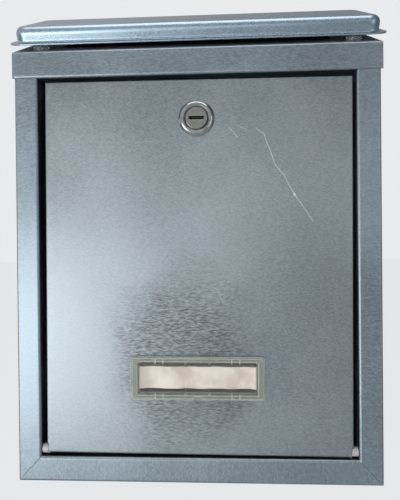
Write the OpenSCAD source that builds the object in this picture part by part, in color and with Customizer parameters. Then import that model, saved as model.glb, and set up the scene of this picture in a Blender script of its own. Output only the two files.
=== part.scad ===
// Wall mounted mailbox of folded steel sheet: a sloped roof with a letter slot under a hinged lid,
// and a door in the front that is hung at its bottom edge and closed by a cam lock.
// Millimetres. The wall is the plane y = 0 and the front looks along -Y. The origin is the centre
// of the four fixing holes in the back panel.

/* [Body] */
// Width over the side walls
body_w = 215; // [190:1:245]
// Depth from the wall to the front frame
body_d = 68; // [62:1:82]
// Height of the front, up to the roof
front_h = 255.4; // [225:0.2:300]
// Slope of the roof in degrees
roof_slope = 30.5; // [27:0.5:34]
// Thickness of the body, lid and door sheet
sheet = 0.8; // [0.7:0.05:1]
// Inside radius of the folds
fold_r = 0.7; // [0.5:0.1:0.9]

/* [Front frame] */
// Width of the two upright flanges
stile_w = 14; // [12:0.5:18]
// Height of the bottom flange
rail_h = 14.8; // [12:0.1:18]
// Height of the roof's front strip
header_h = 15.4; // [14:0.1:20]
// Depth of the lip round the door opening
lip_d = 8; // [6:0.5:10]
// Width of the open mitre seams at the bottom corners
seam_w = 0.3; // [0.2:0.05:0.4]

/* [Back and wall fixing] */
// Depth of the back panel's side and bottom flanges
back_flange = 12; // [8:1:16]
// Height of the fixing holes' centre above the bottom
fixing_h = 145; // [130:1:160]
// Distance between the fixing holes across
fixing_x = 150; // [120:1:170]
// Distance between the fixing holes up
fixing_z = 200; // [160:1:215]
// Diameter of the fixing holes
fixing_hole = 5.5; // [4.5:0.5:7]

/* [Letter slot] */
// Width of the slot in the roof
slot_w = 168; // [140:1:172]
// Distance of the slot behind the front edge, along the slope
slot_front = 17; // [16.5:0.5:22]
// Length of the slot along the slope
slot_l = 43; // [34:1:44]
// Corner radius of the slot
slot_r = 6; // [4:0.5:8]

/* [Lid] */
// Width of the lid over its rim
lid_w = 230; // [226:1:236]
// Distance of the lid's rim behind the roof's front edge, along the slope
lid_front = 7.2; // [5:0.2:8]
// Height of the lid's pan above the underside of its rim
lid_h = 9.8; // [8:0.2:14]
// Width of the rim at the front and the sides
rim_w = 4.5; // [4:0.1:6]
// Width of the rim at the hinge
rim_back = 6.5; // [6:0.1:8]
// Corner radius of the pan
lid_corner = 7.5; // [6:0.5:12]
// Radius of the fold round the top of the pan
lid_top_r = 4.5; // [3:0.5:6]
// Radius of the fold between the pan and its rim
lid_foot_r = 1.6; // [1:0.1:2]
// Gap between the roof and the lid's rim
lid_gap = 2.9; // [2.6:0.1:3.4]

/* [Lid hinge] */
// Length of the hinge
hinge_l = 171; // [120:1:180]
// Number of knuckles, an odd number
knuckles = 9; // [5:2:13]
// Gap between two knuckles
knuckle_gap = 0.3; // [0.2:0.05:0.5]
// Thickness of the leaves
leaf_t = 0.6; // [0.5:0.05:0.7]
// Width of each leaf from the pin's axis
leaf_w = 13; // [12:0.5:14]
// Radius of the hinge pin
hinge_pin_r = 0.7; // [0.6:0.05:0.75]
// Distance of the pin's axis behind the lid's rim
hinge_back = 0.6; // [0.4:0.1:1]
// Radius of the hinge rivets
hinge_rivet_r = 1.2; // [1:0.1:1.3]

/* [Bumpers] */
// Diameter of the clear bumpers under the lid
bumper_d = 9; // [7:0.5:10]
// Distance of the bumpers' centres in from the side walls
bumper_in = 13.2; // [10:0.2:15]
// Distance of the bumpers' centres behind the lid's front edge, along the slope
bumper_back = 4.6; // [4:0.2:6]

/* [Door] */
// Gap at each side of the door
door_gap_side = 2.6; // [2.2:0.1:3.5]
// Gap under the door
door_gap_bottom = 1.2; // [1.1:0.1:2]
// Gap over the door
door_gap_top = 1.9; // [1.5:0.1:3]
// Distance of the door's face behind the front frame
door_recess = 1.2; // [0.5:0.1:2]
// Depth of the door over its flanges
door_d = 10; // [8:0.5:12]
// How far the door leans to the right in its hinge, in degrees
door_lean = 0.3; // [0:0.05:0.4]
// Distance of the pivot behind the door's face
pivot_back = 2.6; // [2.5:0.1:3.2]
// Height of the pivot above the door's bottom edge
pivot_up = 2.6; // [2.5:0.1:3.2]
// Radius of the pivot pins
pivot_r = 1.5; // [1.2:0.1:1.6]
// Radius of the plastic washers on the pivots
pivot_washer_r = 2.75; // [2.5:0.05:2.9]
// Width of the notches in the door's bottom corners
notch_w = 1.4; // [1:0.1:2]
// Height of the notches in the door's bottom corners
notch_h = 5.9; // [5.7:0.1:7]
// Depth by which the stop behind the door's top edge laps down over it
stop_lap = 6; // [5:0.5:7]

/* [Lock] */
// Distance of the lock's centre under the door's top edge
lock_down = 23.6; // [22:0.2:26]
// Diameter of the lock's front ring
bezel_d = 21; // [20.5:0.5:24]
// Height of the front ring
bezel_h = 2.2; // [1.6:0.1:3]
// Diameter of the threaded barrel
barrel_d = 18; // [17:0.5:19]
// Distance across the barrel's two flats
barrel_flats = 16; // [15.5:0.1:16.5]
// Diameter of the turning plug
plug_d = 13.4; // [12.8:0.1:13.6]
// Length of the key slot
key_l = 9; // [8:0.2:10]
// Width of the key slot
key_w = 2; // [1.6:0.1:2.4]
// Width of the lock's nut across its flats
nut_af = 23; // [22:0.5:25]
// Length of the cam from the lock's axis to its end
cam_l = 25; // [24:0.5:27]
// Width of the cam
cam_w = 14; // [12:0.5:16]
// Thickness of the cam
cam_t = 1.8; // [1.5:0.1:2]
// Number of wafers in the plug
wafers = 5; // [3:1:5]

/* [Name plate] */
// Width of the name plate
name_w = 78.4; // [70:0.2:90]
// Height of the name plate
name_h = 25.2; // [22:0.2:30]
// Height of the name plate's centre above the bottom of the body
name_up = 62.2; // [50:0.2:80]
// Width of the window
window_w = 67.4; // [60:0.2:70]
// Height of the window
window_h = 15.8; // [13:0.2:18]
// Height of the name plate over the door
name_t = 3.2; // [2.8:0.1:4]
// Height of the card
card_h = 13; // [11:0.2:15]
// Thickness of the card
card_t = 0.3; // [0.2:0.05:0.4]

/* [Fits] */
// Radial clearance of the running fits
running = 0.05; // [0.03:0.01:0.08]
// Clearance between pieces that are fixed to each other
fixed_gap = 0.03; // [0.02:0.01:0.05]
// Clearance at the sides of the moving pieces
side_play = 0.15; // [0.1:0.05:0.25]

/* [Hidden] */

$fn = 64;
cut = 1;                                    // how far a cutter runs past what it cuts
bond = 0.01;                                // how far the plates of one folded sheet lap at a mitre
slope_rise = tan(roof_slope);

// Faces of the box, with heights from its bottom
front_y = -body_d;                          // outer face of the front frame
roof_y = front_y - sheet;                   // the roof's front strip lies over the frame
side_x = body_w / 2;
opening_x = side_x - stile_w;
opening_top = front_h - header_h;

// The door, hung at its bottom edge
door_w = 2 * (opening_x - door_gap_side);
door_h = opening_top - rail_h - door_gap_bottom - door_gap_top;
door_y = front_y + door_recess;
pivot_y = door_y + pivot_back;
pivot_z = rail_h + door_gap_bottom + pivot_up;
door_low = -pivot_up;                       // the door's bottom edge, from the pivot
door_top = door_h - pivot_up;
ear_x = door_w / 2 - notch_w;               // outer face of the ears that the pivots pass through
ear_h = 8;                                  // the ears' height and depth
washer_t = opening_x - ear_x - 2 * side_play;
pin_past = 0.9;                             // how far a pivot pin reaches past its ear

// The stop behind the door's top edge
stop_gap = 0.5;
stop_y = door_y + door_d + stop_gap + sheet;
stop_low = opening_top - door_gap_top - stop_lap;

// The lid's hinge, in the roof's own directions: s up the slope, n square to it
pan_front = lid_front + rim_w;
pin_r_out = lid_gap / 2;                    // outer radius of the knuckles
wall_room = 2.4;                            // the pin's axis stands this far off the wall
hinge_s = (body_d + sheet - wall_room + pin_r_out * sin(roof_slope)) / cos(roof_slope);
lid_back = hinge_s - hinge_back;
pan_back = lid_back - rim_back;
knuckle_pitch = hinge_l / knuckles;
rivet_head_r = 1.5 * hinge_rivet_r;
rivet_head_t = 0.7;
rivets = 4;
lid_rivet_s = (pan_back + lid_foot_r + hinge_s - pin_r_out) / 2;
body_rivet_s = hinge_s - leaf_w + 3.4;

// Lock, from the door's outer face along its axis
lock_z = door_top - lock_down;
plug_r = plug_d / 2;
plug_chamfer = 0.5;
plug_sunk = 0.4;                            // the plug's face lies this far inside the ring
nut_t = 3.5;
square_w = 7;                               // the square that carries the cam
washer_plate_t = 0.8;
cam_play = 1;                               // from the stop to the cam
barrel_l = door_d + stop_gap + sheet + cam_play - washer_plate_t;
cam_seat = -barrel_l - washer_plate_t;      // front face of the cam
square_l = washer_plate_t + cam_t;
cam_back = cam_seat - cam_t;
wafer_t = 0.6;
wafer_pitch = 1.7;
wafer_first = -1.6;
wafer_w = 5;
wafer_l = 2 * plug_r - 1.2;
screw_r = 2;
screw_end = 1 - barrel_l;
spring_washer_t = 0.9;
screw_seat = cam_back - spring_washer_t;

// Name plate
name_z = name_up - pivot_z;
collar_t = 1.2;                             // wall of the collar that passes through the door
collar_w = window_w + 2 * collar_t;
collar_h = window_h + 2 * collar_t;
collar_back = 2.6;                          // how far the collar reaches behind the door's face
clip_x = 22.4;                              // the four hooks, two over and two under the window
clip_w = 4.6;
clip_t = 0.7;
window_t = 1;
window_seat = name_t - 0.5 - window_t;      // back face of the clear window
window_lap = 1.9;                           // how far the window laps over the frame's opening
card_gap = 0.25;
card_w = window_w + 1.2;
card_seat = window_seat - card_gap - card_t;
finger_x = 7;                               // the fingers that hold the card's middle
finger_w = 0.8;
rim_step = 0.9;                             // the rim's upper step, in from its edge and up
pry_w = 5;                                  // notch for prying the window out
pry_h = 2;

// ---- Sheet metal ----

function unit(v) = v / norm(v);
function left_of(u) = [-u[1], u[0]];
function turned(l) = [for (i = [len(l) - 1:-1:0]) l[i]];

// One fold of a sheet's edge line at p, from direction u to v. The sheet lies on the line's side
// `side` (1 left, -1 right), and inset picks the face at that depth in the sheet.
function fold_arc(p, u, v, side, inset) =
    let(way = sign(u[0] * v[1] - u[1] * v[0]),
        angle = acos(u * v),
        r_line = way == side ? fold_r + sheet : fold_r,
        c = p - r_line * tan(angle / 2) * u + r_line * way * left_of(u),
        r = r_line - way * side * inset)
    [for (i = [0:5]) let(a = angle * i / 5) c - r * way * cos(a) * left_of(u) + r * sin(a) * u];

function fold_line(pts, side, inset) =
    let(m = len(pts) - 1)
    concat([pts[0] + inset * side * left_of(unit(pts[1] - pts[0]))],
           [for (k = [1:m - 1])
               each fold_arc(pts[k], unit(pts[k] - pts[k - 1]), unit(pts[k + 1] - pts[k]),
                             side, inset)],
           [pts[m] + inset * side * left_of(unit(pts[m] - pts[m - 1]))]);

// Section of a folded sheet whose one face follows the line pts
module folded(pts, side)
    polygon(concat(fold_line(pts, side, 0), turned(fold_line(pts, side, sheet))));

// A section drawn in y and z, run across the box over the width w
module across(w) rotate([90, 0, 90]) translate([0, 0, -w / 2]) linear_extrude(w) children();

// An outline drawn in x and z, run from the wall out to the depth d
module from_wall(d) rotate([90, 0, 0]) linear_extrude(d) children();

// The box stands on z = 0 while it is built, and is then lowered to its fixing holes
module placed() translate([0, 0, -fixing_h]) children();

// The roof's own frame: y runs up the slope, z stands square on it
module on_roof() placed() translate([0, roof_y, front_h]) rotate([roof_slope, 0, 0]) children();

// All that hangs on the door, from the middle of its pivot line
module at_pivot() placed() translate([0, pivot_y, pivot_z]) children();
module on_door() at_pivot() rotate([0, door_lean, 0]) children();

// The space inside the roof sheet, for trimming what stands under it
module under_roof()
    across(2 * body_w)
        polygon(concat(fold_line([[roof_y, -cut], [roof_y, front_h],
                                  [cut, front_h + (cut - roof_y) * slope_rise]], -1, sheet),
                       [[cut, -cut]]));

// ---- Body ----

module side_section(m)
    folded([[m * side_x, 0], [m * side_x, front_y], [m * opening_x, front_y],
            [m * opening_x, front_y + lip_d]], -m);

module bottom_section()
    folded([[0, 0], [front_y, 0], [front_y, rail_h], [front_y + lip_d, rail_h]], -1);

// The part of the front outline that belongs to one upright, above its mitre
module upright_part(m)
    polygon([[m * (side_x + bond), -bond], [m * (opening_x - bond), rail_h - bond],
             [m * (opening_x - cut), rail_h], [m * (opening_x - cut), 2 * front_h],
             [m * (side_x + cut), 2 * front_h], [m * (side_x + cut), -bond]]);

module bottom_part()
    polygon([[-side_x, 0], [-opening_x, rail_h + cut], [opening_x, rail_h + cut], [side_x, 0]]);

module wrap_outline() {
    r = fold_r + sheet;
    translate([-side_x, r]) square([body_w, 2 * front_h]);
    translate([r - side_x, 0]) square([body_w - 2 * r, 2 * r]);
    for (m = [-1, 1]) translate([m * (side_x - r), r]) circle(r);
}

module mitre_seam(m) {
    angle = atan2(rail_h, stile_w);
    translate([m * side_x, front_y, 0]) rotate([0, m == 1 ? 180 + angle : -angle, 0])
        translate([fold_r + sheet, -cut, -seam_w / 2])
            cube([norm([stile_w, rail_h]) - 2 * (fold_r + sheet), cut + sheet / 2, seam_w]);
}

module body_wrap() color("lightsteelblue") placed() difference() {
    intersection() {
        from_wall(body_d + cut) wrap_outline();
        under_roof();
        union() {
            for (m = [-1, 1]) intersection() {
                linear_extrude(2 * front_h) side_section(m);
                from_wall(body_d + cut) upright_part(m);
            }
            intersection() {
                across(body_w) bottom_section();
                from_wall(body_d + cut) bottom_part();
            }
        }
    }
    for (m = [-1, 1]) {
        mitre_seam(m);
        translate([m * opening_x, pivot_y, pivot_z]) rotate([0, 90, 0])
            cylinder(r = pivot_r + fixed_gap, h = 4 * sheet, center = true);
    }
}

module back_panel() color("lightsteelblue") placed() difference() {
    x = side_x - sheet;
    intersection() {
        under_roof();
        union() {
            translate([0, 0, sheet]) linear_extrude(2 * front_h)
                folded([[-x, -back_flange], [-x, 0], [x, 0], [x, -back_flange]], -1);
            translate([sheet - x, -back_flange, sheet])
                cube([2 * (x - sheet), back_flange - sheet / 2, sheet]);
        }
    }
    for (m = [-1, 1], k = [-1, 1])
        translate([m * fixing_x / 2, cut, fixing_h + k * fixing_z / 2]) rotate([90, 0, 0])
            cylinder(d = fixing_hole, h = sheet + 2 * cut);
}

// ---- Roof ----

roof_back_z = front_h + body_d * slope_rise;
back_flange_x = side_x - 2 * sheet - fold_r;

// Height of a plane that lies just under the roof sheet
function roof_flat_z(y) = front_h + (y - roof_y) * slope_rise - sheet / cos(roof_slope);

module roof_section()
    folded([[stop_y, stop_low], [stop_y, opening_top], [roof_y, opening_top], [roof_y, front_h],
            [-sheet, roof_back_z], [-sheet, roof_back_z - back_flange]], -1);

module roof_side_outline()
    polygon(concat([[roof_y, opening_top]],
                   fold_arc([roof_y, front_h], [0, 1], [cos(roof_slope), sin(roof_slope)], -1, 0),
                   [[0, front_h - roof_y * slope_rise],
                    [0, front_h - header_h - roof_y * slope_rise]]));

module slot_outline() {
    translate([slot_r - slot_w / 2, slot_front]) square([slot_w - 2 * slot_r, slot_l]);
    translate([-slot_w / 2, slot_front + slot_r]) square([slot_w, slot_l - 2 * slot_r]);
    for (x = [-1, 1], y = [0, 1])
        translate([x * (slot_w / 2 - slot_r), slot_front + slot_r + y * (slot_l - 2 * slot_r)])
            circle(slot_r);
}

module hinge_rivet_places(s)
    for (i = [0:rivets - 1])
        translate([(i - (rivets - 1) / 2) * (hinge_l - 2 * leaf_w) / (rivets - 1), s, 0]) children();

module roof_hood() color("lightsteelblue") difference() {
    placed() {
        intersection() {
            across(body_w + 2 * sheet) roof_section();
            // the stop lies between the uprights' lips, the back flange between the back panel's
            union() {
                across(4 * body_w)
                    polygon([[roof_y - cut, roof_flat_z(roof_y - cut)], [0, roof_flat_z(0)],
                             [0, 2 * front_h], [roof_y - cut, 2 * front_h]]);
                translate([-2 * body_w, roof_y - cut, 0])
                    cube([4 * body_w, sheet + cut, 2 * front_h]);
                translate([fixed_gap - opening_x, roof_y, 0])
                    cube([2 * (opening_x - fixed_gap), body_d / 2, 2 * front_h]);
                translate([-back_flange_x, -body_d / 4, 0])
                    cube([2 * back_flange_x, body_d / 4, 2 * front_h]);
            }
        }
        for (m = [-1, 1]) translate([m * (side_x + sheet / 2), 0, 0])
            across(sheet) roof_side_outline();
    }
    on_roof() {
        translate([0, 0, -2 * sheet]) linear_extrude(2 * sheet + cut) slot_outline();
        hinge_rivet_places(body_rivet_s)
            cylinder(r = hinge_rivet_r + fixed_gap, h = 4 * sheet, center = true);
    }
}

// ---- Lid and its hinge ----

module quarter_ring(r_out, r_in, quadrant)
    intersection() {
        difference() {
            circle(r_out);
            circle(r_in);
        }
        rotate(90 * quadrant) square(r_out + cut);
    }

// Section of the pan's edge: x runs outwards from the corner's centre
module pan_section(rim) {
    r = lid_corner;
    top_c = [r - lid_top_r, lid_h - lid_top_r];
    foot_c = [r + lid_foot_r, sheet + lid_foot_r];
    translate([0, lid_h - sheet]) square([top_c[0], sheet]);
    translate(top_c) quarter_ring(lid_top_r, lid_top_r - sheet, 0);
    translate([r - sheet, foot_c[1]]) square([sheet, top_c[1] - foot_c[1]]);
    translate(foot_c) quarter_ring(lid_foot_r + sheet, lid_foot_r, 2);
    translate([foot_c[0], 0]) square([rim - lid_foot_r, sheet]);
}

pan_x = lid_w / 2 - rim_w;                  // outer face of the pan's side walls
corner_x = pan_x - lid_corner;
corner_front = pan_front + lid_corner;
corner_back = pan_back - lid_corner;

// The back corners' rim is cut to the width of the side rim
module lid_pan() color("lightsteelblue") on_roof() translate([0, 0, lid_gap]) difference() {
    union() {
        for (m = [0, 1]) mirror([m, 0, 0]) {
            translate([corner_x, corner_front, 0]) rotate([0, 0, -90]) rotate_extrude(angle = 90)
                pan_section(rim_w);
            translate([corner_x, corner_back, 0]) rotate_extrude(angle = 90) pan_section(rim_w);
            translate([corner_x, corner_back, 0]) rotate([90, 0, 0])
                linear_extrude(corner_back - corner_front) pan_section(rim_w);
        }
        translate([-corner_x, corner_front, 0]) rotate([90, 0, -90]) mirror([0, 0, 1])
            linear_extrude(2 * corner_x) pan_section(rim_w);
        translate([corner_x, corner_back, 0]) rotate([90, 0, 90]) mirror([0, 0, 1])
            linear_extrude(2 * corner_x) pan_section(rim_back);
        translate([-corner_x, corner_front, lid_h - sheet])
            cube([2 * corner_x, corner_back - corner_front, sheet]);
    }
    hinge_rivet_places(lid_rivet_s)
        cylinder(r = hinge_rivet_r + fixed_gap, h = 4 * sheet, center = true);
}

// Places the even (0) or odd (1) knuckles' outline along the hinge
module knuckle_row(odd)
    for (i = [odd:2:knuckles - 1])
        translate([(i - (knuckles - 1) / 2) * knuckle_pitch, hinge_s, pin_r_out])
            rotate([0, 90, 0])
                cylinder(r = pin_r_out, h = knuckle_pitch - knuckle_gap, center = true);

module hinge_leaf(odd, plate_z, rivet_s) on_roof() difference() {
    union() {
        translate([-hinge_l / 2, hinge_s - leaf_w, plate_z]) cube([hinge_l, leaf_w, leaf_t]);
        knuckle_row(odd);
    }
    // room for the other leaf's knuckles
    for (i = [1 - odd:2:knuckles - 1])
        translate([(i - (knuckles - 1) / 2) * knuckle_pitch, hinge_s, pin_r_out])
            cube([knuckle_pitch + knuckle_gap, 2 * pin_r_out + 2 * knuckle_gap, 4 * pin_r_out],
                 center = true);
    translate([0, hinge_s, pin_r_out]) rotate([0, 90, 0])
        cylinder(r = hinge_pin_r + running, h = hinge_l + 2 * cut, center = true);
    hinge_rivet_places(rivet_s)
        cylinder(r = hinge_rivet_r + fixed_gap, h = 4 * lid_gap, center = true);
}

module hinge_leaf_body() color("silver") hinge_leaf(0, 0, body_rivet_s);

module hinge_leaf_lid() color("silver") hinge_leaf(1, lid_gap - leaf_t, lid_rivet_s);

module hinge_pin() color("silver") on_roof() translate([0, hinge_s, pin_r_out]) rotate([0, 90, 0])
    cylinder(r = hinge_pin_r, h = hinge_l, center = true);

// A rivet through plates that lie between z = low and z = high
module hinge_rivet(low, high) {
    translate([0, 0, low]) cylinder(r = hinge_rivet_r, h = high - low);
    translate([0, 0, high]) cylinder(r = rivet_head_r, h = rivet_head_t);
    translate([0, 0, low - rivet_head_t]) cylinder(r = rivet_head_r, h = rivet_head_t);
}

module hinge_rivets_body() color("gainsboro") on_roof() hinge_rivet_places(body_rivet_s)
    hinge_rivet(-sheet, leaf_t);

module hinge_rivets_lid() color("gainsboro") on_roof() hinge_rivet_places(lid_rivet_s)
    hinge_rivet(lid_gap - leaf_t, lid_gap + sheet);

// A clear bumper with a rounded rim, stuck on the roof under the lid's front edge
module bumper(m) color("ghostwhite", 0.6) on_roof() {
    h = lid_gap - side_play;
    r = bumper_d / 2;
    round_r = h / 2;
    translate([m * (side_x - bumper_in), lid_front + bumper_back, 0]) {
        cylinder(r = r, h = h - round_r);
        translate([0, 0, h - round_r]) {
            cylinder(r = r - round_r, h = round_r);
            rotate_extrude() translate([r - round_r, 0]) quarter_ring(round_r, 0, 0);
        }
    }
}

module bumper_left() bumper(-1);
module bumper_right() bumper(1);

// ---- Door ----

// A plate w wide whose face is y = 0, d deep, with its two front edges rounded
module fronted(w, d, r) {
    translate([-w / 2, r]) square([w, d - r]);
    translate([r - w / 2, 0]) square([w - 2 * r, 2 * r]);
    for (m = [-1, 1]) translate([m * (w / 2 - r), r]) circle(r);
}

module tray_block(w, h, d, r) intersection() {
    linear_extrude(h, center = true) fronted(w, d, r);
    rotate([0, 90, 0]) linear_extrude(w, center = true) fronted(h, d, r);
}

module door_tray() translate([0, -pivot_back, (door_low + door_top) / 2]) difference() {
    tray_block(door_w, door_h, door_d, fold_r + sheet);
    translate([0, sheet, 0]) tray_block(door_w - 2 * sheet, door_h - 2 * sheet, door_d, fold_r);
}

module door_ear(m) translate([m == 1 ? ear_x - sheet : -ear_x, sheet / 2 - pivot_back, door_low])
    cube([sheet, ear_h, ear_h]);

module lock_hole() rotate([90, 0, 0]) linear_extrude(4 * sheet, center = true)
    barrel_outline(fixed_gap);

module barrel_outline(gap) intersection() {
    circle(d = barrel_d + 2 * gap);
    square([barrel_flats + 2 * gap, 2 * barrel_d], center = true);
}

module door_panel() color("lightsteelblue") difference() {
    on_door() difference() {
        union() {
            difference() {
                door_tray();
                for (m = [-1, 1])
                    translate([m == 1 ? ear_x : -ear_x - 2 * notch_w, -door_d, door_low - cut])
                        cube([2 * notch_w, 3 * door_d, notch_h + cut]);
            }
            for (m = [-1, 1]) door_ear(m);
        }
        translate([0, -pivot_back, lock_z]) lock_hole();
        translate([0, -pivot_back, name_z]) rotate([90, 0, 0])
            linear_extrude(4 * sheet, center = true)
                rounded_plate(collar_w + 2 * fixed_gap, collar_h + 2 * fixed_gap, 1);
    }
    at_pivot() rotate([0, 90, 0]) cylinder(r = pivot_r + running, h = body_w, center = true);
}

// A pin from inside the upright, through its lip and the washer, into the door's ear
module pivot_pin(m) color("gainsboro") at_pivot() rotate([0, m * 90, 0]) {
    head_t = 1;
    head_r = pivot_r + 0.7;
    translate([0, 0, ear_x - sheet - pin_past])
        cylinder(r = pivot_r, h = opening_x + sheet + pin_past + sheet - ear_x + bond);
    translate([0, 0, opening_x + sheet]) cylinder(r = head_r, h = head_t);
}

module pivot_pin_left() pivot_pin(-1);
module pivot_pin_right() pivot_pin(1);

module pivot_washer(m) color("whitesmoke") at_pivot() rotate([0, m * 90, 0]) difference() {
    translate([0, 0, ear_x + side_play]) cylinder(r = pivot_washer_r, h = washer_t);
    cylinder(r = pivot_r + running, h = body_w);
}

module pivot_washer_left() pivot_washer(-1);
module pivot_washer_right() pivot_washer(1);

// ---- Lock ----

// On the lock's axis: z points out of the door's face, y up
module at_lock() on_door() translate([0, -pivot_back, lock_z]) rotate([90, 0, 0]) children();

module bezel_section() {
    r = bezel_d / 2;
    lip = 0.8;
    polygon([[plug_r + running, 0], [r, 0], [r, lip], [r - 1.2, bezel_h - 0.3], [r - 1.8, bezel_h],
             [plug_r + 1, bezel_h], [plug_r + running, bezel_h - plug_sunk - plug_chamfer]]);
}

module lock_housing() color("silver") at_lock() difference() {
    union() {
        rotate_extrude() bezel_section();
        translate([0, 0, -barrel_l]) linear_extrude(barrel_l + bond) barrel_outline(0);
    }
    translate([0, 0, -barrel_l - cut]) cylinder(r = plug_r + running, h = barrel_l + 2 * cut);
    // index notch in the ring
    rotate([0, 0, -45]) translate([plug_r + 1.4, 0, bezel_h - 0.6]) cylinder(r = 0.6, h = cut);
}

module lock_nut() color("silver") at_lock() translate([0, 0, -sheet - nut_t]) difference() {
    cylinder(d = nut_af / cos(30), h = nut_t, $fn = 6);
    translate([0, 0, -cut]) cylinder(d = barrel_d + 2 * fixed_gap, h = nut_t + 2 * cut);
}

module key_slot() translate([-key_l / 2, -key_w / 2, wafer_first - wafers * wafer_pitch])
    cube([key_l, key_w, 2 * barrel_l]);

module wafer_rooms(gap)
    for (i = [0:wafers - 1])
        translate([0, 0, wafer_first - i * wafer_pitch])
            cube([wafer_l + 2 * gap, wafer_w + 2 * gap, wafer_t + 2 * gap], center = true);

module lock_plug() color("gainsboro") at_lock() difference() {
    union() {
        translate([0, 0, -barrel_l])
            cylinder(r = plug_r, h = barrel_l + bezel_h - plug_sunk - plug_chamfer);
        translate([0, 0, bezel_h - plug_sunk - plug_chamfer])
            cylinder(r1 = plug_r, r2 = plug_r - plug_chamfer, h = plug_chamfer);
        translate([-square_w / 2, -square_w / 2, -barrel_l - square_l])
            cube([square_w, square_w, square_l + bond]);
    }
    key_slot();
    wafer_rooms(fixed_gap);
    translate([0, 0, -barrel_l - square_l - cut])
        cylinder(r = screw_r + fixed_gap, h = screw_end + barrel_l + square_l + cut);
}

module lock_wafers() color("gold") at_lock() difference() {
    wafer_rooms(0);
    for (i = [0:wafers - 1])
        translate([0, 0, wafer_first - i * wafer_pitch])
            cube([key_l - 1, key_w - 0.2, 2 * wafer_t], center = true);
}

module square_hole() cube([square_w + 2 * fixed_gap, square_w + 2 * fixed_gap, 8], center = true);

module lock_stop_washer() color("silver") at_lock() translate([0, 0, cam_seat]) difference() {
    cylinder(r = barrel_d / 2 - 1, h = washer_plate_t - side_play);
    square_hole();
}

// The cam lies level when the lock is open and stands up behind the stop when it is locked
module lock_cam() color("silver") at_lock() translate([0, 0, cam_back]) difference() {
    union() {
        cylinder(d = cam_w, h = cam_t);
        translate([0, -cam_w / 2, 0]) cube([cam_l - 3, cam_w, cam_t]);
        translate([0, 3 - cam_w / 2, 0]) cube([cam_l, cam_w - 6, cam_t]);
        for (m = [-1, 1]) translate([cam_l - 3, m * (cam_w / 2 - 3), 0]) cylinder(r = 3, h = cam_t);
    }
    square_hole();
}

module cam_spring_washer() color("silver") at_lock() translate([0, 0, screw_seat]) difference() {
    cylinder(r = 2.3 * screw_r, h = spring_washer_t);
    cylinder(r = screw_r + fixed_gap, h = 4 * cut, center = true);
    // the split in its ring
    translate([0, -0.3, -cut]) cube([3 * screw_r, 0.6, 3 * cut]);
}

module cam_screw() color("silver") at_lock() translate([0, 0, screw_seat]) difference() {
    head_t = 1.1 * screw_r;
    recess = 0.4 * screw_r;
    union() {
        cylinder(r = screw_r, h = screw_end - screw_seat - side_play);
        translate([0, 0, -head_t]) cylinder(r = 1.9 * screw_r, h = head_t);
    }
    for (a = [0, 90]) rotate([0, 0, a])
        translate([-1.1 * screw_r, -recess / 2, -head_t - cut])
            cube([2.2 * screw_r, recess, head_t / 2 + cut]);
}

// ---- Name plate ----

module at_name() on_door() translate([0, -pivot_back, name_z]) rotate([90, 0, 0]) children();

module rounded_plate(w, h, r) {
    square([w - 2 * r, h], center = true);
    square([w, h - 2 * r], center = true);
    for (x = [-1, 1], y = [-1, 1]) translate([x * (w / 2 - r), y * (h / 2 - r)]) circle(r);
}

// The frame: a stepped rim on the door, a collar through it, and four hooks behind its sheet
module name_frame() color("darkseagreen", 0.7) at_name() {
    difference() {
        union() {
            linear_extrude(name_t - rim_step) rounded_plate(name_w, name_h, 1.6);
            translate([0, 0, name_t - rim_step - bond]) linear_extrude(rim_step + bond)
                rounded_plate(name_w - 2 * rim_step, name_h - 2 * rim_step, 1.2);
            translate([0, 0, -collar_back]) linear_extrude(collar_back + bond)
                rounded_plate(collar_w, collar_h, 0.95);
        }
        translate([0, 0, -2 * collar_back]) linear_extrude(4 * collar_back + name_t)
            rounded_plate(window_w, window_h, 0.5);
        // seat of the window, and the pockets for the card's two ends
        translate([0, 0, window_seat]) linear_extrude(name_t)
            rounded_plate(window_w + 2 * window_lap, window_h + 2 * window_lap, 0.8);
        translate([0, 0, card_seat - card_gap + name_t / 2])
            cube([card_w + 2 * card_gap, card_h + 2 * card_gap, name_t], center = true);
        translate([0, -name_h / 2, name_t])
            cube([pry_w, 2 * pry_h, 2 * rim_step], center = true);
    }
    hook_l = collar_back - sheet - side_play;
    for (x = [-1, 1], y = [-1, 1]) {
        translate([x * clip_x, y * (collar_h + clip_t) / 2, -collar_back + hook_l / 2])
            cube([clip_w, clip_t + 2 * bond, hook_l], center = true);
        translate([x * finger_x, y * (window_h + card_h + bond) / 4, card_seat / 2])
            cube([finger_w, (window_h - card_h) / 2 + bond, card_seat - card_gap], center = true);
    }
}

// The clear window: a pane with a raised rim round what it shows of the card
module name_window() color("azure", 0.5) at_name() translate([0, 0, window_seat]) {
    pane_w = window_w + 2 * window_lap - 2 * fixed_gap;
    pane_h = window_h + 2 * window_lap - 2 * fixed_gap;
    linear_extrude(window_t) rounded_plate(pane_w, pane_h, 0.75);
    linear_extrude(window_t + 0.3) difference() {
        rounded_plate(pane_w, pane_h, 0.75);
        rounded_plate(window_w, window_h, 0.5);
    }
}

module name_card() color("ivory") at_name() translate([0, 0, card_seat])
    linear_extrude(card_t) square([card_w, card_h], center = true);

body_wrap();
back_panel();
roof_hood();
lid_pan();
hinge_leaf_body();
hinge_leaf_lid();
hinge_pin();
hinge_rivets_body();
hinge_rivets_lid();
bumper_left();
bumper_right();
door_panel();
pivot_pin_left();
pivot_pin_right();
pivot_washer_left();
pivot_washer_right();
lock_housing();
lock_nut();
lock_plug();
lock_wafers();
lock_stop_washer();
lock_cam();
cam_spring_washer();
cam_screw();
name_frame();
name_window();
name_card();
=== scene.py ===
"""A wall mounted mailbox of folded sheet steel, with a hinged lid, a bottom-hung door, a cam lock
and a name plate. Units are metres; the wall is the plane y = 0, the front faces -Y and up is +Z."""
import math

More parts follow.
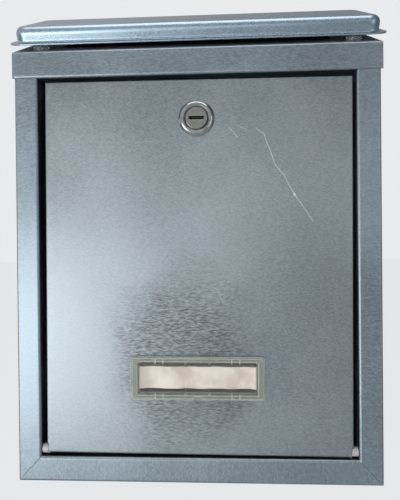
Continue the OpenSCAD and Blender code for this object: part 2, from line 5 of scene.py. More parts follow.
import bmesh
import bpy
from mathutils import Matrix, Vector


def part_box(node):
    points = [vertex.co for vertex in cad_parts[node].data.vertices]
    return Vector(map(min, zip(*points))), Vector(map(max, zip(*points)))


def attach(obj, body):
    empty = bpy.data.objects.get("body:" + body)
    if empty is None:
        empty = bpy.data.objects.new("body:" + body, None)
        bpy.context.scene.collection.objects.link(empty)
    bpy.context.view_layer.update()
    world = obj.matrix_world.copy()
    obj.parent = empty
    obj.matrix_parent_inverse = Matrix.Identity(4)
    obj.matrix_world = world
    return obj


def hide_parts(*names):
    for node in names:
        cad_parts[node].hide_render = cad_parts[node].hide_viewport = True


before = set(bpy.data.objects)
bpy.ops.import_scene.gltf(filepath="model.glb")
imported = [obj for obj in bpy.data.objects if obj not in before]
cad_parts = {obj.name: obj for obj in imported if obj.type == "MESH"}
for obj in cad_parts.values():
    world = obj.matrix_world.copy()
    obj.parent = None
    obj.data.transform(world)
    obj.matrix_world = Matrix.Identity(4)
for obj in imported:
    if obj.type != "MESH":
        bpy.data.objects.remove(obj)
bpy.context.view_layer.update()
scene = bpy.context.scene


# ---- Shell ----
# One sheet of galvanised, brushed steel, bent into the side walls and the bottom, with flanges for
# the front frame. The brush marks run from the wall forwards, so they turn level on the two stiles
# and upright on the bottom rail, and meet in a mitre at the lower corners.

def place(tree, kind, sockets=None, **settings):
    """Adds a shader node. A socket takes a number, a colour, a vector or another node's output."""
    node = tree.nodes.new(kind)
    for name, value in settings.items():
        setattr(node, name, value)
    for name, value in (sockets or {}).items():
        if isinstance(value, bpy.types.NodeSocket):
            tree.links.new(value, node.inputs[name])
        else:
            node.inputs[name].default_value = value
    return node


def maths(tree, operation, *values, clamp=False):
    """One step of arithmetic on numbers."""
    node = place(tree, "ShaderNodeMath", dict(enumerate(values)), operation=operation, use_clamp=clamp)
    return node.outputs[0]


def vectors(tree, operation, *values):
    """One step of arithmetic on vectors."""
    node = place(tree, "ShaderNodeVectorMath", dict(enumerate(values)), operation=operation)
    return node.outputs["Value" if operation in ("DOT_PRODUCT", "LENGTH") else "Vector"]


def fade(tree, value, start, end, low=0.0, high=1.0):
    """Goes smoothly from low to high as value goes from start to end."""
    sockets = {"Value": value, "From Min": start, "From Max": end, "To Min": low, "To Max": high}
    return place(tree, "ShaderNodeMapRange", sockets, interpolation_type="SMOOTHSTEP").outputs[0]


def tint(tree, mask, first, second, way="MIX"):
    """Colour: first where the mask is 0, second where it is 1."""
    node = place(tree, "ShaderNodeMix", {0: mask, 6: first, 7: second}, data_type="RGBA", blend_type=way)
    return node.outputs[2]


def noise(tree, where, scale, detail=2.0, roughness=0.5):
    """Soft noise from 0 to 1, with about `scale` waves in a metre."""
    sockets = {"Vector": where, "Scale": scale, "Detail": detail, "Roughness": roughness}
    return place(tree, "ShaderNodeTexNoise", sockets).outputs[0]


def shader_group(name, inputs, outputs):
    """An empty shader group with named sockets. Returns it with its input and output nodes."""
    group = bpy.data.node_groups.new(name, "ShaderNodeTree")
    for label, kind, value in inputs:
        socket = group.interface.new_socket(name=label, in_out="INPUT", socket_type="NodeSocket" + kind)
        if value is not None:
            socket.default_value = value
    for label, kind in outputs:
        group.interface.new_socket(name=label, in_out="OUTPUT", socket_type="NodeSocket" + kind)
    return group, group.nodes.new("NodeGroupInput"), group.nodes.new("NodeGroupOutput")


def use(tree, group, **sockets):
    """Places a shader group in a material; underscores in a socket's name stand for spaces."""
    node = place(tree, "ShaderNodeGroup", node_tree=group)
    for name, value in sockets.items():
        socket = node.inputs[name.replace("_", " ")]
        if isinstance(value, bpy.types.NodeSocket):
            tree.links.new(value, socket)
        else:
            socket.default_value = value
    return node.outputs


def make_brush_marks():
    """Short streaks of the brushing, with a share of longer ones. Stretch gives how many lie in a
    metre along each axis."""
    long_share = 0.2
    long_scale = 0.4
    group, start, end = shader_group(
        "Brush Marks",
        (("Vector", "Vector", None), ("Stretch", "Vector", (300.0, 1600.0, 1600.0))),
        (("Streaks", "Float"), ("Height", "Float")))
    where = vectors(group, "MULTIPLY", start.outputs["Vector"], start.outputs["Stretch"])
    fine = noise(group, where, 1.0, 2.0, 0.6)
    long = noise(group, vectors(group, "MULTIPLY", where, (long_scale,) * 3), 1.0, 3.0, 0.6)
    both = maths(group, "ADD", maths(group, "MULTIPLY", fine, 1.0 - long_share),
                 maths(group, "MULTIPLY", long, long_share))
    streaks = fade(group, both, 0.36, 0.64)
    group.links.new(streaks, end.inputs["Streaks"])
    group.links.new(both, end.inputs["Height"])
    return group


def make_clouding():
    """Slow changes of tone over a sheet, about Size across, as handling and cleaning leave."""
    group, start, end = shader_group(
        "Clouding", (("Vector", "Vector", None), ("Size", "Float", 0.06)), (("Clouds", "Float"),))
    scale = maths(group, "DIVIDE", 1.0, start.outputs["Size"])
    broad = noise(group, start.outputs["Vector"], scale, 2.0, 0.45)
    group.links.new(fade(group, broad, 0.3, 0.7), end.inputs["Clouds"])
    return group


def make_specks():
    """Small round specks of dust and dried dirt. Spacing is the size of the cells that they lie in,
    Amount the share of the cells that hold one, and Radius a speck's, as a share of its cell."""
    group, start, end = shader_group(
        "Specks",
        (("Vector", "Vector", None), ("Spacing", "Float", 0.012), ("Amount", "Float", 0.3),
         ("Radius", "Float", 0.02)),
        (("Specks", "Float"),))
    scale = maths(group, "DIVIDE", 1.0, start.outputs["Spacing"])
    cells = place(group, "ShaderNodeTexVoronoi", {"Vector": start.outputs["Vector"], "Scale": scale})
    draw = place(group, "ShaderNodeSeparateColor", {0: cells.outputs["Color"]}).outputs[0]
    chosen = maths(group, "LESS_THAN", draw, start.outputs["Amount"])
    near = maths(group, "LESS_THAN", cells.outputs["Distance"], start.outputs["Radius"])
    group.links.new(maths(group, "MULTIPLY", chosen, near), end.inputs["Specks"])
    return group


def make_edge_finder():
    """Where a surface turns within Radius: Edge is 1 on its edges and 0 on its flats, and Normal is
    the surface's own with those edges rounded off."""
    flat_turn = 0.995
    edge_turn = 0.86
    group, start, end = shader_group(
        "Edge Finder", (("Radius", "Float", 0.0006),), (("Edge", "Float"), ("Normal", "Vector")))
    rounded = place(group, "ShaderNodeBevel", {"Radius": start.outputs["Radius"]}, samples=4)
    flat = place(group, "ShaderNodeNewGeometry")
    turn = vectors(group, "DOT_PRODUCT", rounded.outputs[0], flat.outputs["Normal"])
    group.links.new(fade(group, turn, flat_turn, edge_turn), end.inputs["Edge"])
    group.links.new(rounded.outputs[0], end.inputs["Normal"])
    return group


brush_marks = make_brush_marks()
clouding = make_clouding()
specks = make_specks()
edge_finder = make_edge_finder()

# the sheet's tone in its deepest and its palest marks, on its edges, which are partly worn and partly
# painted highlight, and under dust
sheet_dark = (0.140, 0.173, 0.195, 1.0)
sheet_light = (0.245, 0.300, 0.338, 1.0)
wear_and_highlight_bright = (0.58, 0.62, 0.65, 1.0)
dust_pale = (0.50, 0.51, 0.50, 1.0)


def new_material(name):
    """A material with its Principled shader. Returns the material, its tree and the shader."""
    material = bpy.data.materials.new(name)
    material.use_nodes = True
    tree = material.node_tree
    return material, tree, tree.nodes["Principled BSDF"]


def coords(tree):
    """Where a point lies on the part, in metres."""
    return place(tree, "ShaderNodeTexCoord").outputs["Object"]


def sheet_steel(name, grain_way, extra=None, roughness=(0.34, 0.46), tones=(sheet_dark, sheet_light)):
    """Brushed sheet. grain_way(tree, where) gives the Vector and Stretch for its brush marks, and
    extra(tree, where, colour) may paint more on top, such as scratches."""
    streak_share = 0.55
    cloud_share = 0.4
    cloud_size = 0.075
    dust_cover = 0.7
    wear_and_highlight_cover = 0.55
    material, tree, shader = new_material(name)
    where = coords(tree)
    vector, stretch = grain_way(tree, where)
    marks = use(tree, brush_marks, Vector=vector, Stretch=stretch)
    clouds = use(tree, clouding, Vector=where, Size=cloud_size)["Clouds"]
    tone = maths(tree, "ADD", maths(tree, "MULTIPLY", marks["Streaks"], streak_share),
                 maths(tree, "MULTIPLY", clouds, cloud_share))
    colour = tint(tree, tone, *tones)
    dust = use(tree, specks, Vector=where, Spacing=0.014, Amount=0.35, Radius=0.022)["Specks"]
    colour = tint(tree, maths(tree, "MULTIPLY", dust, dust_cover), colour, dust_pale)
    if extra:
        colour = extra(tree, where, colour)
    # painted highlight and wear: the sheet's edges and folds are tinted pale, partly for wear and partly as
    # painted highlight
    edge = use(tree, edge_finder, Radius=0.0005)
    colour = tint(tree, maths(tree, "MULTIPLY", edge["Edge"], wear_and_highlight_cover), colour, wear_and_highlight_bright)
    tree.links.new(colour, shader.inputs["Base Color"])
    gloss = fade(tree, tone, 0.0, 1.0, *roughness)
    tree.links.new(gloss, shader.inputs["Roughness"])
    shader.inputs["Metallic"].default_value = 1.0
    bump = place(tree, "ShaderNodeBump", {
        "Strength": 0.6, "Distance": 0.00008, "Height": marks["Height"], "Normal": edge["Normal"]})
    tree.links.new(bump.outputs[0], shader.inputs["Normal"])
    return material


def set_material(node, material):
    """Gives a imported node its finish."""
    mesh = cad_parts[node].data
    mesh.materials.clear()
    mesh.materials.append(material)


body_low, body_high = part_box("body_wrap")
rail_h = 0.0148
marks_along = 640.0
marks_across = 2100.0


def forward_grain(tree, where):
    """Level marks on the walls and stiles, upright ones on the bottom and the bottom rail."""
    place_of = place(tree, "ShaderNodeSeparateXYZ", {0: where}).outputs
    up = maths(tree, "SUBTRACT", place_of[2], body_low.z)
    aside = maths(tree, "SUBTRACT", body_high.x, maths(tree, "ABSOLUTE", place_of[0]))
    rail = maths(tree, "MULTIPLY", maths(tree, "LESS_THAN", up, rail_h), maths(tree, "LESS_THAN", up, aside))
    level = place(
        tree, "ShaderNodeCombineXYZ", {0: marks_along, 1: marks_along, 2: marks_across}).outputs[0]
    upright = place(
        tree, "ShaderNodeCombineXYZ", {0: marks_across, 1: marks_along, 2: marks_along}).outputs[0]
    stretch = place(
        tree, "ShaderNodeMix", {0: rail, 4: level, 5: upright}, data_type="VECTOR").outputs[1]
    return where, stretch


set_material("body_wrap", sheet_steel("shell_sheet", forward_grain))


# ---- Back panel ----
# A flat pan of the same sheet, flanged forwards all round and riveted inside the shell. It is the
# wall side, so it is duller than the front and marked by handling.

def level_grain(tree, where):
    """Marks that run from side to side."""
    return where, (marks_along, marks_across, marks_across)


set_material("back_panel", sheet_steel("back_sheet", level_grain, roughness=(0.42, 0.55)))


# ---- Roof ----
# The roof sheet slopes down from the wall and folds over the front as a strip, one sheet proud of
# the stiles. Its brush marks run from side to side.

set_material("roof_hood", sheet_steel("roof_sheet", level_grain))


# ---- Lid ----
# A shallow drawn pan with a turned-out rim that covers the letter slot. It is the same sheet, but its
# brushing is finer, and its tones are a lighter, bluer copy of the sheet's: painted light for the light that
# the lid catches.

# painted light: a lighter, bluer copy of the sheet's tones, for the light that the lid catches
lid_lit_tones = ((0.195, 0.252, 0.298, 1.0), (0.285, 0.370, 0.440, 1.0))
set_material("lid_pan", sheet_steel("lid_sheet", level_grain, roughness=(0.26, 0.36), tones=lid_lit_tones))


# ---- Hinge, pivots and lock hardware ----
# Small pressed and turned parts of zinc plated steel, the hinge's rivets of aluminium, the pivots'
# washers of white nylon, and the wafers of the lock of brass.

def small_metal(name, dark, light, roughness, grain=900.0):
    """Plated or plain small metal parts, a little mottled, bright on their edges, partly for wear and partly
    as painted highlight.
    """
    edge_gain = 1.5
    edge_cover = 0.6
    material, tree, shader = new_material(name)
    where = coords(tree)
    mottle = fade(tree, noise(tree, where, grain, 3.0, 0.6), 0.3, 0.7)
    edge = use(tree, edge_finder, Radius=0.0002)
    colour = tint(tree, mottle, dark, light)
    # painted highlight and wear: the edges are tinted paler than the metal
    bright = tuple(min(1.0, edge_gain * c) for c in light[:3]) + (1.0,)
    colour = tint(tree, maths(tree, "MULTIPLY", edge["Edge"], edge_cover), colour, bright)
    tree.links.new(colour, shader.inputs["Base Color"])
    gloss = fade(tree, mottle, 0.0, 1.0, roughness - 0.05, roughness + 0.08)
    tree.links.new(gloss, shader.inputs["Roughness"])
    shader.inputs["Metallic"].default_value = 1.0
    bump = place(tree, "ShaderNodeBump", {
        "Strength": 0.25, "Distance": 0.00003, "Height": mottle, "Normal": edge["Normal"]})
    tree.links.new(bump.outputs[0], shader.inputs["Normal"])
    return material


zinc = small_metal("zinc_plate", (0.32, 0.33, 0.34, 1.0), (0.45, 0.46, 0.47, 1.0), 0.32)
aluminium = small_metal("rivet_metal", (0.45, 0.45, 0.45, 1.0), (0.58, 0.58, 0.57, 1.0), 0.3)
# painted shade: the wafers' brass is darkened nearly to black, for the shade deep in the key slot
brass = small_metal("wafer_brass_shaded", (0.10, 0.075, 0.04, 1.0), (0.17, 0.13, 0.07, 1.0), 0.35)

for node in ("hinge_leaf_body", "hinge_leaf_lid", "hinge_pin", "pivot_pin_left", "pivot_pin_right",
             "lock_nut", "lock_stop_washer", "lock_cam", "cam_spring_washer", "cam_screw"):
    set_material(node, zinc)
for node in ("hinge_rivets_body", "hinge_rivets_lid"):
    set_material(node, aluminium)
set_material("lock_wafers", brass)


def moulded(name, dark, light, roughness, scatter=0.0, clearness=0.0, index=1.49, grain=1400.0):
    """A moulded plastic or rubber, with the faint orange peel of its tool."""
    material, tree, shader = new_material(name)
    where = coords(tree)
    cloud = fade(tree, noise(tree, where, 160.0, 2.0, 0.5), 0.3, 0.7)
    tree.links.new(tint(tree, cloud, dark, light), shader.inputs["Base Color"])
    peel = noise(tree, where, grain, 2.0, 0.5)
    tree.links.new(fade(tree, peel, 0.2, 0.8, roughness * 0.8, roughness * 1.2), shader.inputs["Roughness"])
    shader.inputs["Subsurface Weight"].default_value = scatter
    shader.inputs["Subsurface Scale"].default_value = 0.001
    shader.inputs["Transmission Weight"].default_value = clearness
    shader.inputs["IOR"].default_value = index
    bump = place(tree, "ShaderNodeBump", {"Strength": 0.15, "Distance": 0.00003, "Height": peel})
    tree.links.new(bump.outputs[0], shader.inputs["Normal"])
    return material


nylon = moulded("washer_nylon", (0.34, 0.34, 0.33, 1.0), (0.42, 0.42, 0.41, 1.0), 0.4, scatter=0.2)
for side in ("left", "right"):
    set_material("pivot_washer_" + side, nylon)


# ---- Bumpers ----
# Two clear silicone domes, stuck to the roof strip's top fold with their own adhesive, on which
# the lid's front edge rests.

silicone = moulded("bumper_silicone", (0.42, 0.45, 0.46, 1.0), (0.50, 0.53, 0.54, 1.0), 0.25,
                   clearness=0.85, index=1.41)
for side in ("left", "right"):
    set_material("bumper_" + side, silicone)


# ---- Door ----
# A tray of the same sheet, its edges folded back all round, hung at its lower corners. Years of keys have
# left one long scratch under the lock, and a few short ones beside it. A ragged dark patch over its lower
# middle is painted reflection.

lock_low, lock_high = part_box("lock_housing")
lock_x = (lock_low.x + lock_high.x) / 2
lock_z = (lock_low.z + lock_high.z) / 2

# each scratch: its points from the lock's centre, across and up, its width and its brightness
scratches = (
    (((0.0350, -0.0064), (0.0394, -0.0099), (0.0408, -0.0152), (0.0435, -0.0216), (0.0457, -0.0280),
      (0.0505, -0.0338), (0.0542, -0.0406), (0.0566, -0.0452), (0.0600, -0.0501), (0.0670, -0.0606)),
     0.00030, 0.50),
    (((0.0187, -0.0058), (0.0241, -0.0112)), 0.00028, 0.45),
    (((0.0230, -0.0045), (0.0290, -0.0071)), 0.00020, 0.30),
    (((0.0566, -0.0449), (0.0567, -0.0455)), 0.00080, 0.90),
    (((0.0903, -0.0360), (0.0901, -0.0900), (0.0906, -0.1600)), 0.00022, 0.30),
    (((-0.0700, 0.0110), (-0.0660, 0.0085)), 0.00018, 0.20),
    (((0.0110, -0.1000), (0.0142, -0.1075)), 0.00018, 0.20),
)

# the painted dark reflection over the door's lower middle: its middle and half size
dark_reflection_at = (-0.007, 0.0, -0.072)
dark_reflection_size = (0.050, 1.0, 0.058)
dark_reflection_ragged = 0.9
scratch_wander = 0.0012


def make_scratch_line():
    """One straight stretch of a scratch, from From to To, seen from the front."""
    group, start, end = shader_group(
        "Scratch Line",
        (("Vector", "Vector", None), ("From", "Vector", None), ("To", "Vector", None),
         ("Width", "Float", 0.0003)),
        (("Scratch", "Float"),))
    flat = vectors(group, "MULTIPLY", start.outputs["Vector"], (1.0, 0.0, 1.0))
    reach = vectors(group, "SUBTRACT", flat, start.outputs["From"])
    line = vectors(group, "SUBTRACT", start.outputs["To"], start.outputs["From"])
    share = maths(group, "DIVIDE", vectors(group, "DOT_PRODUCT", reach, line),
                  vectors(group, "DOT_PRODUCT", line, line), clamp=True)
    along = place(group, "ShaderNodeVectorMath", {0: line, "Scale": share}, operation="SCALE").outputs[0]
    away = vectors(group, "LENGTH", vectors(group, "SUBTRACT", reach, along))
    half = maths(group, "MULTIPLY", start.outputs["Width"], 0.5)
    group.links.new(fade(group, away, start.outputs["Width"], half), end.inputs["Scratch"])
    return group


scratch_line = make_scratch_line()


def scratched(tree, where, colour):
    """The painted dark reflection over the door's lower middle, then the scratches, which wander a little
    off their straight stretches.
    """
    # painted reflection: a ragged dark patch over the door's lower middle, darkest where the brush marks are
    # low
    from_patch = vectors(tree, "DIVIDE", vectors(tree, "SUBTRACT", where, dark_reflection_at), dark_reflection_size)
    ragged = maths(tree, "MULTIPLY", noise(tree, where, 38.0, 3.0, 0.55), dark_reflection_ragged)
    spread = maths(tree, "ADD", vectors(tree, "LENGTH", from_patch), ragged)
    reflection_marks = use(tree, brush_marks, Vector=where, Stretch=(300.0, 1300.0, 1300.0))["Streaks"]
    reflection_tone = tint(tree, reflection_marks, (0.42, 0.41, 0.41, 1.0), (0.98, 0.97, 0.97, 1.0))
    dull = tint(tree, 1.0, colour, reflection_tone, "MULTIPLY")
    colour = tint(tree, fade(tree, spread, 1.6, 0.9), colour, dull)
    wander = place(tree, "ShaderNodeTexNoise", {"Vector": where, "Scale": 220.0, "Detail": 2.0})
    shake = vectors(tree, "MULTIPLY", wander.outputs["Color"], (scratch_wander, 0.0, scratch_wander))
    middle = (scratch_wander / 2, 0.0, scratch_wander / 2)
    shaken = vectors(tree, "ADD", where, vectors(tree, "SUBTRACT", shake, middle))
    for points, width, strength in scratches:
        for (x1, z1), (x2, z2) in zip(points, points[1:]):
            line = use(tree, scratch_line, Vector=shaken, Width=width,
                       From=(lock_x + x1, 0.0, lock_z + z1), To=(lock_x + x2, 0.0, lock_z + z2))
            colour = tint(tree, maths(tree, "MULTIPLY", line["Scratch"], strength), colour, wear_and_highlight_bright)
    return colour


door_tones = ((0.150, 0.175, 0.186, 1.0), (0.262, 0.302, 0.320, 1.0))
set_material("door_panel", sheet_steel("door_sheet", level_grain, extra=scratched, tones=door_tones))


# ---- Lock ----
# A cam lock of die cast zinc, chromium plated: a ring in front of the door with a turning plug in
# it, whose key slot stands level while the lock is open.

def chrome(name, tone, roughness):
    """Chromium plate, a little uneven and in places tarnished."""
    tarnish_tone = 0.72
    tarnish_roughness = 1.9
    material, tree, shader = new_material(name)
    where = coords(tree)
    tarnish = fade(tree, noise(tree, where, 220.0, 3.0, 0.55), 0.35, 0.7)
    dull = tuple(tarnish_tone * c for c in tone[:3]) + (1.0,)
    edge = use(tree, edge_finder, Radius=0.00025)
    tree.links.new(tint(tree, tarnish, tone, dull), shader.inputs["Base Color"])
    gloss = fade(tree, tarnish, 0.0, 1.0, roughness, roughness * tarnish_roughness)
    tree.links.new(gloss, shader.inputs["Roughness"])
    shader.inputs["Metallic"].default_value = 1.0
    fine = noise(tree, where, 2500.0, 2.0, 0.5)
    bump = place(tree, "ShaderNodeBump", {
        "Strength": 0.12, "Distance": 0.00003, "Height": fine, "Normal": edge["Normal"]})
    tree.links.new(bump.outputs[0], shader.inputs["Normal"])
    return material


set_material("lock_housing", chrome("ring_chrome", (0.30, 0.315, 0.32, 1.0), 0.08))
set_material("lock_plug", chrome("plug_chrome", (0.25, 0.255, 0.24, 1.0), 0.16))


# ---- Name plate ----
# A smoke green, see-through frame snapped into the door, with a clear window over a paper card.
# The card has grown damp and dried in waves, and is creased near its ends.

def see_through(name, dark, light, edge_colour, flat_cover, edge_cover, roughness, opening=None):
    """Thin clear moulding: little cover on its flats, more where light gathers along its edges. The walls of
    its opening, given as a middle and a half width and height, are painted near black and nearly opaque:
    painted shade for the dark box behind."""
    material, tree, shader = new_material(name)
    where = coords(tree)
    cloud = fade(tree, noise(tree, where, 120.0, 2.0, 0.5), 0.3, 0.7)
    edge = use(tree, edge_finder, Radius=0.0004)
    colour = tint(tree, edge["Edge"], tint(tree, cloud, dark, light), edge_colour)
    cover = fade(tree, edge["Edge"], 0.0, 1.0, flat_cover, edge_cover)
    if opening:
        middle, half_w, half_h = opening
        off = vectors(tree, "ABSOLUTE", vectors(tree, "SUBTRACT", where, middle))
        off = place(tree, "ShaderNodeSeparateXYZ", {0: off}).outputs
        inside = maths(tree, "MULTIPLY", maths(tree, "LESS_THAN", off[0], half_w),
                       maths(tree, "LESS_THAN", off[2], half_h))
        # painted shade: the walls of the opening are painted near black and nearly opaque
        colour = tint(tree, inside, colour, (0.030, 0.034, 0.030, 1.0))
        cover = maths(tree, "MAXIMUM", cover, maths(tree, "MULTIPLY", inside, 0.9))
    tree.links.new(colour, shader.inputs["Base Color"])
    tree.links.new(cover, shader.inputs["Alpha"])
    tree.links.new(fade(tree, cloud, 0.0, 1.0, roughness, roughness * 1.6), shader.inputs["Roughness"])
    bump = place(tree, "ShaderNodeBump", {
        "Strength": 0.1, "Distance": 0.00003, "Height": cloud, "Normal": edge["Normal"]})
    tree.links.new(bump.outputs[0], shader.inputs["Normal"])
    return material


frame_low, frame_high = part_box("name_frame")
frame_middle = (frame_low + frame_high) / 2
opening_w = 0.0690
opening_h = 0.0171
# the frame's opening gets painted shade on its walls
tinted = see_through("frame_plastic", (0.36, 0.40, 0.33, 1.0), (0.46, 0.50, 0.42, 1.0),
                     (0.80, 0.83, 0.72, 1.0), 0.42, 0.92, 0.1,
                     opening=(frame_middle, opening_w / 2, opening_h / 2))
clear = see_through("window_plastic", (0.80, 0.82, 0.80, 1.0), (0.88, 0.90, 0.88, 1.0),
                    (0.90, 0.92, 0.86, 1.0), 0.04, 0.35, 0.05)
set_material("name_frame", tinted)
set_material("name_window", clear)

card_low, card_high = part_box("name_card")
card_middle = (card_low + card_high) / 2
card_w = card_high.x - card_low.x
card_h = card_high.z - card_low.z - 0.0003
card_t = card_high.y - card_low.y
plate_lean = math.radians(0.3)

card_end = 0.03
card_rest = 0.0003
card_front = 0.00018

# each wave: where it starts and ends across the card, how far it goes back, and how it leans
card_waves = (
    (-0.0335, -0.0275, 0.00042, 0.10),
    (-0.0255, -0.0165, -0.00036, 0.05),
    (-0.0125, -0.0065, 0.00036, -0.06),
    (-0.0050, 0.0015, -0.00032, 0.04),
    (0.0035, 0.0090, 0.00026, 0.08),
    (0.0135, 0.0180, -0.00026, -0.05),
    (0.0200, 0.0275, 0.00030, 0.12),
    (0.0295, 0.0320, -0.00034, -0.20),
)


wave_depth = 3.2


def smooth_step(value):
    value = min(1.0, max(0.0, value))
    return value * value * (3.0 - 2.0 * value)


def make_card():
    """A sheet of paper held flat at its two ends, where the frame's pockets take it."""
    bm = bmesh.new()
    bmesh.ops.create_grid(bm, x_segments=140, y_segments=26, size=0.5)
    bmesh.ops.scale(bm, vec=(card_w, card_h, 1.0), verts=bm.verts)
    bmesh.ops.rotate(bm, cent=(0, 0, 0), matrix=Matrix.Rotation(math.pi / 2, 3, "X"), verts=bm.verts)
    for vert in bm.verts:
        inwards = 1.0 - smooth_step((abs(vert.co.x) / (card_w / 2) - 1.0 + card_end) / card_end)
        bow = card_rest
        for start, end, depth, lean in card_waves:
            bow += wave_depth * depth * smooth_step((vert.co.x - lean * vert.co.z - start) / (end - start))
        vert.co.y += inwards * max(-card_front, bow)
    bmesh.ops.solidify(bm, geom=bm.faces[:], thickness=card_t)
    bmesh.ops.rotate(bm, cent=(0, 0, 0), matrix=Matrix.Rotation(plate_lean, 3, "Y"), verts=bm.verts)
    bmesh.ops.translate(bm, vec=card_middle, verts=bm.verts)
    bmesh.ops.recalc_face_normals(bm, faces=bm.faces)
    mesh = bpy.data.meshes.new("wavy_card")
    bm.to_mesh(mesh)
    bm.free()
    for face in mesh.polygons:
        face.use_smooth = True
    card = bpy.data.objects.new("wavy_card", mesh)
    scene.collection.objects.link(card)
    return card


# how far in from the card's left end its painted shade reaches, and where it is full
left_shade_reach = 0.0085
left_shade_full = 0.0015


def paper():
    """Cream paper with short fibres, a little stained, and darkened brown at its left end, where it bends
    back, by painted shade.
    """
    material, tree, shader = new_material("card_paper")
    where = coords(tree)
    stain = fade(tree, noise(tree, where, 70.0, 3.0, 0.6), 0.35, 0.7)
    fibre = noise(tree, where, 1500.0, 3.0, 0.6)
    colour = tint(tree, stain, (0.70, 0.66, 0.575, 1.0), (0.50, 0.43, 0.36, 1.0))
    beside = place(tree, "ShaderNodeSeparateXYZ", {0: where}).outputs[0]
    # painted shade: the card is darkened brown towards its left end, where it bends back
    left_end_shade = fade(tree, beside, card_low.x + left_shade_reach, card_low.x + left_shade_full, 0.0, 0.55)
    colour = tint(tree, left_end_shade, colour, (0.42, 0.31, 0.26, 1.0))
    colour = tint(tree, fade(tree, fibre, 0.3, 0.7, 0.0, 0.3), colour, (0.70, 0.67, 0.60, 1.0))
    tree.links.new(colour, shader.inputs["Base Color"])
    shader.inputs["Roughness"].default_value = 0.85
    bump = place(tree, "ShaderNodeBump", {"Strength": 0.3, "Distance": 0.00005, "Height": fibre})
    tree.links.new(bump.outputs[0], shader.inputs["Normal"])
    return material


card = make_card()
card.data.materials.append(paper())
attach(card, "door")
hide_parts("name_card")


# the mould lines of the frame's hooks and fingers, which show as fine ridges across its rim
ridge_w = 0.0003
ridge_t = 0.00012
hook_x = 0.0224
hook_w = 0.0046
finger_x = 0.0070
rim_inner = 0.0084
rim_outer = 0.0117
finger_ridge_l = 0.0012
ridge_round = 0.00004


def make_ridges():
    """Ridges across the rim over and under the card: two for each hook and one for each finger."""
    bm = bmesh.new()
    places = [side * (hook_x + edge * hook_w / 2) for side in (-1, 1) for edge in (-1, 1)]
    lines = [(x, rim_inner, rim_outer) for x in places]
    lines += [(side * finger_x, rim_inner, rim_inner + finger_ridge_l) for side in (-1, 1)]
    for x, inner, outer in lines:
        for level in (-1, 1):
            ridge = bmesh.ops.create_cube(bm, size=1.0)["verts"]
            bmesh.ops.scale(bm, vec=(ridge_w, 2 * ridge_t, outer - inner), verts=ridge)
            bmesh.ops.translate(bm, vec=(x, 0, level * (inner + outer) / 2), verts=ridge)
    bmesh.ops.bevel(bm, geom=bm.edges[:], offset=ridge_round, segments=1, profile=0.5,
                    affect="EDGES", material=-1)
    bmesh.ops.rotate(bm, cent=(0, 0, 0), matrix=Matrix.Rotation(plate_lean, 3, "Y"), verts=bm.verts)
    bmesh.ops.translate(bm, vec=(frame_middle.x, frame_low.y, frame_middle.z), verts=bm.verts)
    mesh = bpy.data.meshes.new("frame_ridges")
    bm.to_mesh(mesh)
    bm.free()
    ridges = bpy.data.objects.new("frame_ridges", mesh)
    scene.collection.objects.link(ridges)
    return ridges


ridges = make_ridges()
ridge_plastic = see_through("ridge_plastic", (0.60, 0.64, 0.54, 1.0), (0.70, 0.74, 0.62, 1.0),
                            (0.80, 0.83, 0.72, 1.0), 0.6, 0.9, 0.1)
ridges.data.materials.append(ridge_plastic)
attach(ridges, "door")


# ---- Studio ----
# A pale floor well below the part, a pale surround, one broad soft lamp low at the front left,
# weaker ones in front and at the right, and one above.

floor_z = -0.6
floor_size = 20.0
surround = (0.86, 0.87, 0.88, 1.0)
seen_strength = 0.95
soft_strength = 0.4
floor_glow = 0.93


def make_floor():
    bm = bmesh.new()
    bmesh.ops.create_grid(bm, x_segments=1, y_segments=1, size=floor_size)
    bmesh.ops.translate(bm, vec=(0, 0, floor_z), verts=bm.verts)
    mesh = bpy.data.meshes.new("studio_floor")
    bm.to_mesh(mesh)
    bm.free()
    floor = bpy.data.objects.new("studio_floor", mesh)
    scene.collection.objects.link(floor)
    material, tree, shader = new_material("floor_paint")
    shader.inputs["Base Color"].default_value = surround
    shader.inputs["Roughness"].default_value = 0.9
    ray = place(tree, "ShaderNodeLightPath").outputs
    shine = place(tree, "ShaderNodeEmission", {"Color": surround, "Strength": seen_strength})
    share = maths(tree, "MULTIPLY", ray["Is Camera Ray"], floor_glow)
    glow = place(
        tree, "ShaderNodeMixShader", {0: share, 1: shader.outputs[0], 2: shine.outputs[0]})
    tree.links.new(glow.outputs[0], tree.nodes["Material Output"].inputs["Surface"])
    mesh.materials.append(material)
    return floor


make_floor()


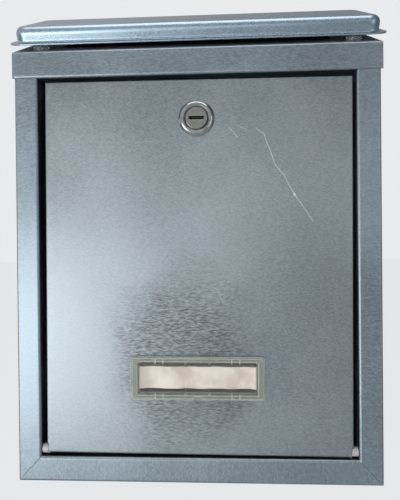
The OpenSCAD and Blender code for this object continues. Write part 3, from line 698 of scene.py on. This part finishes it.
def make_surround():
    """Pale where the camera sees it, shaded from a bright left to a duller right where metal and
    glass do, and a plain soft light on everything else."""
    world = bpy.data.worlds.new("studio_surround")
    world.use_nodes = True
    tree = world.node_tree
    back = tree.nodes["Background"]
    ray = place(tree, "ShaderNodeLightPath").outputs
    mirrored = maths(tree, "MAXIMUM", ray["Is Glossy Ray"], ray["Is Transmission Ray"])
    way = place(tree, "ShaderNodeTexCoord").outputs["Generated"]
    side = vectors(tree, "DOT_PRODUCT", way, (-0.80, -0.45, -0.10))
    shaded = fade(tree, side, -0.8, 0.9, 0.35, 1.10)
    soft = place(tree, "ShaderNodeMix", {0: mirrored, 2: soft_strength, 3: shaded}).outputs[0]
    strength = place(
        tree, "ShaderNodeMix", {0: ray["Is Camera Ray"], 2: soft, 3: seen_strength}).outputs[0]
    back.inputs["Color"].default_value = surround
    tree.links.new(strength, back.inputs["Strength"])
    scene.world = world


make_surround()


def soft_lamp(name, at, aim, width, height, power):
    """A rectangular lamp at one point, turned to another."""
    data = bpy.data.lights.new(name, "AREA")
    data.shape = "RECTANGLE"
    data.size = width
    data.size_y = height
    data.energy = power
    lamp = bpy.data.objects.new(name, data)
    lamp.location = at
    lamp.rotation_euler = (Vector(aim) - Vector(at)).to_track_quat("-Z", "Y").to_euler()
    scene.collection.objects.link(lamp)


soft_lamp("lamp_left", (-0.82, -1.18, -0.45), (0, 0, -0.05), 0.95, 1.0, 18.0)
soft_lamp("lamp_front", (-0.1, -1.6, -0.1), (0, 0, 0), 0.75, 0.75, 2.2)
soft_lamp("lamp_right", (1.3, -1.3, 0.1), (0, 0, 0), 0.8, 1.2, 4.0)
soft_lamp("lamp_top", (0.0, -0.35, 1.3), (0, -0.05, 0), 1.2, 0.9, 10.0)


# ---- Camera ----
# It stands a little right of the middle, some 330 mm in front of the wall, and looks straight at it.

camera_at = (0.0153, -0.331, -0.0061)
camera_yaw = math.radians(2.80)
camera_pitch = math.radians(-0.35)
camera_roll = math.radians(0.56)
turn = (Matrix.Rotation(camera_yaw, 3, "Z") @ Matrix.Rotation(camera_pitch, 3, "X")
        @ Matrix.Rotation(camera_roll, 3, "Y"))
lens = bpy.data.cameras.new("camera")
lens.sensor_fit = "HORIZONTAL"
lens.sensor_width = 36.0
lens.lens = 40.5
lens.clip_start = 0.01
camera = bpy.data.objects.new("camera", lens)
right, ahead, up = turn.col[0], turn.col[1], turn.col[2]
facing = Matrix((right, up, -ahead)).transposed()
camera.matrix_world = Matrix.Translation(camera_at) @ facing.to_4x4()
scene.collection.objects.link(camera)
scene.camera = camera
scene.view_settings.view_transform = "Standard"
